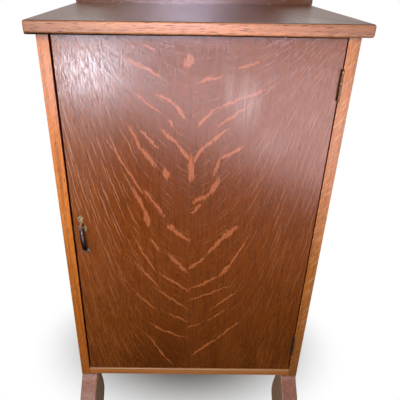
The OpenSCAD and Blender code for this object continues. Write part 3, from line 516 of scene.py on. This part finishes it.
    # Painted reflections of things in front of the door: pale upright patches right of the seam, broken by
    # the fibres
    broken = add(tree, "MapRange", {"Value": fibres, "From Min": 0.35, "From Max": 0.65, "To Min": 1.3,
                                    "To Max": 0.5})
    for x, z, radius_x, radius_z, glint_strength in painted_reflection_patches:
        patch = add(tree, "Mapping", {"Vector": sheet, "Location": (x * MM, z * MM, 0),
                                      "Scale": (radius_x * MM, radius_z * MM, 1)}, vector_type="TEXTURE")
        away = add(tree, "VectorMath", (patch,), operation="LENGTH").outputs["Value"]
        glint = add(tree, "MapRange", {"Value": away, "From Min": 1.0, "From Max": 0.1, "To Max": glint_strength},
                    interpolation_type="SMOOTHSTEP")
        pored = add(tree, "Mix", {0: add(tree, "Math", (glint, broken), operation="MULTIPLY"),
                                  6: pored.outputs[2], 7: linear("#d0b8b8")}, data_type="RGBA")
    tree.links.new(pored.outputs[2], shader.inputs["Base Color"])

    # Surface: the fibres and flecks stand up under the varnish and break its reflections into
    # a fine upright grain
    relief = add(tree, "Math", (open_pores, -1.0, stitches), operation="MULTIPLY_ADD")
    fleck_relief = 0.8
    relief = add(tree, "Math", (fine, fleck_relief, relief), operation="MULTIPLY_ADD")
    bump = add(tree, "Bump", {"Height": relief, "Distance": 0.075 * MM, "Strength": 1.0})
    tree.links.new(bump.outputs[0], shader.inputs["Normal"])
    gloss = add(tree, "MapRange", {"Value": stitches, "From Min": 0.4, "From Max": 0.6, "To Min": 0.25,
                                   "To Max": 0.17})
    tree.links.new(gloss.outputs[0], shader.inputs["Roughness"])
    shader.inputs["IOR"].default_value = 1.5
    # The varnish is worn thin over the amber patch
    varnish = add(tree, "MapRange", {"Value": amber, "To Min": 0.5, "To Max": 0.25})
    tree.links.new(varnish.outputs[0], shader.inputs["Specular IOR Level"])
    return material


veneer = ray_veneer("quarter_sawn_oak_veneer")
for half in ("door_veneer_left", "door_veneer_right"):
    free = 0 if half.endswith("left") else 1
    outer_arris = lambda lies, p, q: lies(p, q, 1, 0) and (
        lies(p, q, 0, free) or lies(p, q, 2, 0) or lies(p, q, 2, 1))
    softened(half, "door", veneer, radius=0.6, arris=outer_arris, segments=2)
finish(back_oak, "door_veneer_back")


# Hinges. Small rolled brass butts, the barrels proud of the front, never polished since
# they were fitted and now nearly black.

def brass(name, bright, tarnish, cover, roughness):
    """Old brass: worn metal shows through a brown skin of tarnish in cloudy patches."""
    material = bpy.data.materials.new(name)
    material.use_nodes = True
    tree = material.node_tree
    shader = tree.nodes["Principled BSDF"]
    place = add(tree, "TexCoord").outputs["Object"]
    patches = streaks(tree, place, (3, 3, 3), detail=3, seed=1.7)
    blend = 0.12
    skin = add(tree, "MapRange", {"Value": patches, "From Min": cover - blend, "From Max": cover + blend})
    colour = add(tree, "Mix", {0: skin, 6: linear(tarnish), 7: linear(bright)}, data_type="RGBA")
    tree.links.new(colour.outputs[2], shader.inputs["Base Color"])
    dull = add(tree, "MapRange", {"Value": skin, "To Min": roughness + 0.2, "To Max": roughness})
    tree.links.new(dull.outputs[0], shader.inputs["Roughness"])
    # Pits and scratches 0.6 mm apart, coarser than real ones so that they show
    scratches = streaks(tree, place, (0.6, 0.6, 0.6), seed=4.4)
    bump = add(tree, "Bump", {"Height": scratches, "Distance": 0.03 * MM, "Strength": 0.5})
    tree.links.new(bump.outputs[0], shader.inputs["Normal"])
    shader.inputs["Metallic"].default_value = 1.0
    return material


dark_brass = brass("brass_black_tarnish", "#8a6c56", "#3c2418", cover=0.54, roughness=0.36)
old_brass = brass("brass_worn", "#bca878", "#665238", cover=0.45, roughness=0.33)
for level in ("upper", "lower"):
    finish(dark_brass, "hinge_case_leaf_" + level, "hinge_door_leaf_" + level, "hinge_pin_" + level)
finish(old_brass, "hinge_case_screws", "hinge_door_screws")


# Pull. A turned brass post bolted through the door, a lobed plate behind it and a foot
# below, with a dark bowed grip between them, rubbed bright where the hand meets it.

grip_brass = brass("brass_dark_grip", "#504240", "#342828", cover=0.5, roughness=0.28)
post_brass = brass("brass_rubbed_post", "#9a7a68", "#5c463a", cover=0.45, roughness=0.3)
finish(old_brass, "pull_plate_upper", "pull_screws", "pull_nut")
finish(post_brass, "pull_post", "pull_foot")
finish(grip_brass, "pull_grip")


# Catch. A turned brass bullet in its sleeve, pressed into a bore in the door's free edge,
# and the strike plate that is screwed to the side panel.

finish(old_brass, "catch_sleeve", "catch_plunger", "strike_plate", "strike_screws")


# Steel. Wire nails in the back, screws under the top and the spring of the catch, plain
# drawn steel gone grey.

steel = bpy.data.materials.new("steel_drawn_grey")
steel.use_nodes = True
steel_tree = steel.node_tree
steel_shader = steel_tree.nodes["Principled BSDF"]
steel_place = add(steel_tree, "TexCoord").outputs["Object"]
steel_spots = streaks(steel_tree, steel_place, (4, 4, 4), detail=3, seed=2.0)
steel_rust = add(steel_tree, "MapRange", {"Value": steel_spots, "From Min": 0.5, "From Max": 0.7})
steel_colour = add(steel_tree, "Mix", {0: steel_rust, 6: linear("#9a958c"), 7: linear("#6a5444")},
                   data_type="RGBA")
steel_tree.links.new(steel_colour.outputs[2], steel_shader.inputs["Base Color"])
steel_shader.inputs["Metallic"].default_value = 1.0
steel_shader.inputs["Roughness"].default_value = 0.4
finish(steel, "back_nails", "top_screws")
spring = merged_copy("catch_spring", "_coil")
bpy.ops.object.shade_smooth()
spring.data.materials.clear()
spring.data.materials.append(steel)
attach(spring, "door")
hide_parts("catch_spring")
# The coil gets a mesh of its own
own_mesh(spring)


# Floor. A plain white sweep; it goes to pure white away from the cabinet, and near it an oval of
#  grey paint is a painted shadow, on which the cabinet's real soft shadow also falls.

bpy.ops.object.select_all(action="DESELECT")
bpy.ops.mesh.primitive_plane_add(size=60)
floor = bpy.context.object
floor.name = "floor"
white = bpy.data.materials.new("floor_matt_white")
white.use_nodes = True
floor_tree = white.node_tree
floor_tree.nodes.clear()
floor_place = add(floor_tree, "TexCoord").outputs["Object"]
# Away is measured in radii of an oval round the cabinet, 350 mm to the sides and 250 mm deep
floor_oval = add(floor_tree, "Mapping", {"Vector": floor_place, "Location": (0, 100 * MM, 0),
                                         "Scale": (350 * MM, 250 * MM, 1)}, vector_type="TEXTURE")
floor_away = add(floor_tree, "VectorMath", (floor_oval,), operation="LENGTH").outputs["Value"]
rays = add(floor_tree, "LightPath")
# Painted shadow: in the oval round the cabinet the camera sees the grey paint, fading out to plain white
shadow_fade = add(floor_tree, "MapRange", {"Value": floor_away, "From Min": 0.3, "From Max": 1.2},
                 interpolation_type="SMOOTHSTEP")
plain_mirror = add(floor_tree, "MapRange", {"Value": floor_away, "From Min": 5.0, "From Max": 10.0},
                   interpolation_type="SMOOTHSTEP")
seen = add(floor_tree, "Math", (rays.outputs["Is Camera Ray"], shadow_fade), operation="MULTIPLY")
mirrored = add(floor_tree, "Math", (rays.outputs["Is Glossy Ray"], plain_mirror), operation="MULTIPLY")
glow = add(floor_tree, "Math", (seen, mirrored), operation="MAXIMUM")
# The paint is darker to the eye than to the light that bounces off it into the shadows, and
# the varnish mirrors it as the dark floor of a room
tint = add(floor_tree, "Mix", {0: rays.outputs["Is Diffuse Ray"], 6: linear("#7a7a7a"),
                               7: linear("#ffffff")}, data_type="RGBA")
dim = add(floor_tree, "Mix", {0: rays.outputs["Is Glossy Ray"], 6: tint.outputs[2],
                              7: linear("#1c1814")}, data_type="RGBA")
paint = add(floor_tree, "BsdfDiffuse", {"Color": dim.outputs[2]})
plain_white = add(floor_tree, "Emission", {"Color": linear("#ffffff"), "Strength": 1.0})
floor_surface = add(floor_tree, "MixShader", (glow, paint, plain_white))
add(floor_tree, "OutputMaterial", {"Surface": floor_surface})
floor.data.materials.append(white)


# Studio. A pale room round the cabinet, which gives a faint cool light from all sides; the
# camera and the reflections see plain white in its place.

world = bpy.data.worlds.new("studio")
bpy.context.scene.world = world
world.use_nodes = True
sky_tree = world.node_tree
sky_tree.nodes.clear()
sky_rays = add(sky_tree, "LightPath")
sky_seen = add(sky_tree, "Math", (sky_rays.outputs["Is Camera Ray"], sky_rays.outputs["Is Glossy Ray"]),
               operation="MAXIMUM")
room = add(sky_tree, "Background", {"Color": linear("#f2f4ff"), "Strength": 0.36})
backdrop = add(sky_tree, "Background", {"Color": linear("#ffffff"), "Strength": 1.0})
add(sky_tree, "OutputWorld", {"Surface": add(sky_tree, "MixShader", (sky_seen, room, backdrop))})


# Lamps. A soft key from above the camera. The other panels stand for what the varnish
# mirrors: two windows behind the camera and sunlight on the floor in front of the cabinet.

def panel_lamp(name, place, aim, size, power, colour, only_mirrored=True):
    """A rectangular lamp, which may give no light but only be seen in the varnish."""
    lamp = bpy.data.lights.new(name, "AREA")
    lamp.shape = "RECTANGLE"
    lamp.size, lamp.size_y = size
    lamp.energy = power
    lamp.color = linear(colour)[:3]
    holder = bpy.data.objects.new(name, lamp)
    bpy.context.scene.collection.objects.link(holder)
    holder.location = place
    holder.rotation_euler = (Vector(aim) - Vector(place)).to_track_quat("-Z", "Y").to_euler()
    holder.visible_diffuse = not only_mirrored
    return holder


panel_lamp("key", place=(-0.38, -1.5, 1.35), aim=(0, 0, 0.6), size=(0.8, 0.5), power=18.6,
           colour="#fff4e8", only_mirrored=False)
panel_lamp("low_window", place=(-0.81, -3.2, 0.17), aim=(-0.15, -0.14, 0.6), size=(0.46, 0.28), power=25,
           colour="#e0ecff")
panel_lamp("high_window", place=(0, -3.2, 1.15), aim=(0, 0, 0.8), size=(0.33, 0.9), power=90,
           colour="#dcd8f8")
sun = panel_lamp("sunlit_floor", place=(1.33, -2.88, 0.02), aim=(1.33, -2.88, 1.0), size=(3.0, 3.2),
                 power=178, colour="#ffe6f2")
sun.rotation_euler.z = math.radians(50)


# Camera. It stands in front of the cabinet, a little above the top board, and looks down;
# its place, its angles and its lens come from the cabinet's straight edges in the picture.

focal_px, centre_px, image_px = 439.34, (182.64, 207.26), 400
stand = (-0.0218, -0.77161, 0.88424)
pitch, yaw, roll = (math.radians(a) for a in (28.564, 0.305, 0.836))
lens = bpy.data.cameras.new("camera")
lens.sensor_width = 36
lens.lens = focal_px * lens.sensor_width / image_px
lens.shift_x = 0.5 - centre_px[0] / image_px
lens.shift_y = centre_px[1] / image_px - 0.5
camera = bpy.data.objects.new("camera", lens)
bpy.context.scene.collection.objects.link(camera)
camera.matrix_world = (Matrix.Translation(stand)
                       @ Matrix.Rotation(-yaw, 4, "Z") @ Matrix.Rotation(math.pi / 2 - pitch, 4, "X")
                       @ Matrix.Rotation(roll, 4, "Z"))
lens.clip_start = 0.01
lens.clip_end = 100
bpy.context.scene.camera = camera
bpy.context.scene.view_settings.view_transform = "Standard"
